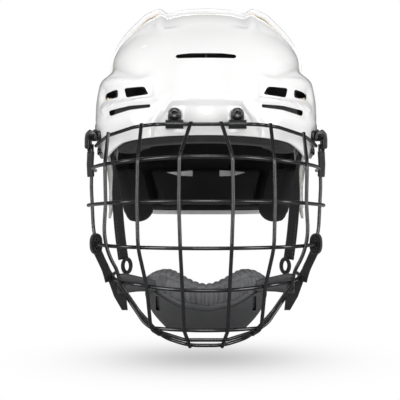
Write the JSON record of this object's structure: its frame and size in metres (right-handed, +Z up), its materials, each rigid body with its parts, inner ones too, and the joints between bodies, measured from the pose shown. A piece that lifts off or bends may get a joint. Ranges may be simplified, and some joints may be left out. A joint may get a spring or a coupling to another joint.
{
  "type": "ice hockey helmet",
  "caption": "White two-piece ice hockey helmet with a black wire face cage, a padded chin cup and clear ear guards.",
  "frame": {"origin": "middle of the wearer's head at the height of the ear holes", "axes": "+Z up, the face looks along -Y, +X is the wearer's left"},
  "size_m": [0.2196, 0.2845, 0.3048],
  "materials": {
    "shell_white": "gloss",
    "liner_black": "matte",
    "plastic_black": "satin",
    "wire_black": "gloss",
    "screw_black": "satin",
    "steel_zinc": "satin",
    "webbing_black": "woven",
    "clear_plastic": "clear",
    "pad_fabric": "matte",
    "pad_leatherette": "satin"
  },
  "bodies": {
    "front_body": {"brow_pad": "liner_black", "cage_clip_left": "plastic_black", "cage_clip_nuts": "steel_zinc", "cage_clip_right": "plastic_black", "cage_clip_screws": "screw_black", "chin_strap_left": "webbing_black", "chin_strap_right": "webbing_black", "crown_pad": "liner_black", "ear_guard_left": "clear_plastic", "ear_guard_right": "clear_plastic", "ear_nuts": "steel_zinc", "ear_screws": "screw_black", "forehead_pad": "liner_black", "front_shell": "shell_white", "j_hook_left": "plastic_black", "j_hook_right": "plastic_black", "j_hook_screws": "screw_black", "retaining_strap_left": "webbing_black", "retaining_strap_right": "webbing_black", "retaining_studs": "screw_black", "side_pad_left": "liner_black", "side_pad_right": "liner_black"},
    "rear_body": {"rear_shell": "shell_white", "rear_crown_pad": "liner_black", "size_screws": "screw_black", "size_nuts": "steel_zinc", "occipital_guide": "plastic_black", "rear_pad_left": "liner_black", "rear_pad_right": "liner_black", "nape_pad_left": "liner_black", "nape_pad_right": "liner_black", "mastoid_pad_left": "liner_black", "mastoid_pad_right": "liner_black"},
    "occipital_body": {"occipital_carrier": "plastic_black", "occipital_pad": "pad_fabric"},
    "cage_body": {"cage_bar_2": "wire_black", "cage_bar_3": "wire_black", "cage_bar_4": "wire_black", "cage_bar_5": "wire_black", "cage_bar_6": "wire_black", "cage_chin_loop": "wire_black", "cage_rim_wire": "wire_black", "cage_top_bar": "wire_black", "upright_inner_left": "wire_black", "upright_inner_right": "wire_black", "upright_middle_left": "wire_black", "upright_middle_right": "wire_black", "chin_cup_shell": "plastic_black", "chin_cup_pad": "pad_leatherette", "cup_snaps": "screw_black", "cup_wing_left": "webbing_black", "cup_wing_right": "webbing_black", "cup_bracket_left": "plastic_black", "cup_bracket_right": "plastic_black", "cup_strap_left": "webbing_black", "cup_strap_right": "webbing_black", "side_keeper_left": "webbing_black", "side_keeper_right": "webbing_black"}
  },
  "joints": [
    {"name": "cage_flip", "type": "hinge", "parent": "front_body", "child": "cage_body", "pos_m": [0, -0.124, 0.037], "axis": [-1, 0, 0], "range_deg": [0, 110]},
    {"name": "rear_shell_slide", "type": "slide", "parent": "front_body", "child": "rear_body", "axis": [0, 1, 0], "range_m": [0, 0.015]},
    {"name": "occipital_pad_slide", "type": "slide", "parent": "rear_body", "child": "occipital_body", "axis": [0, -1, 0], "range_m": [0, 0.008]}
  ]
}
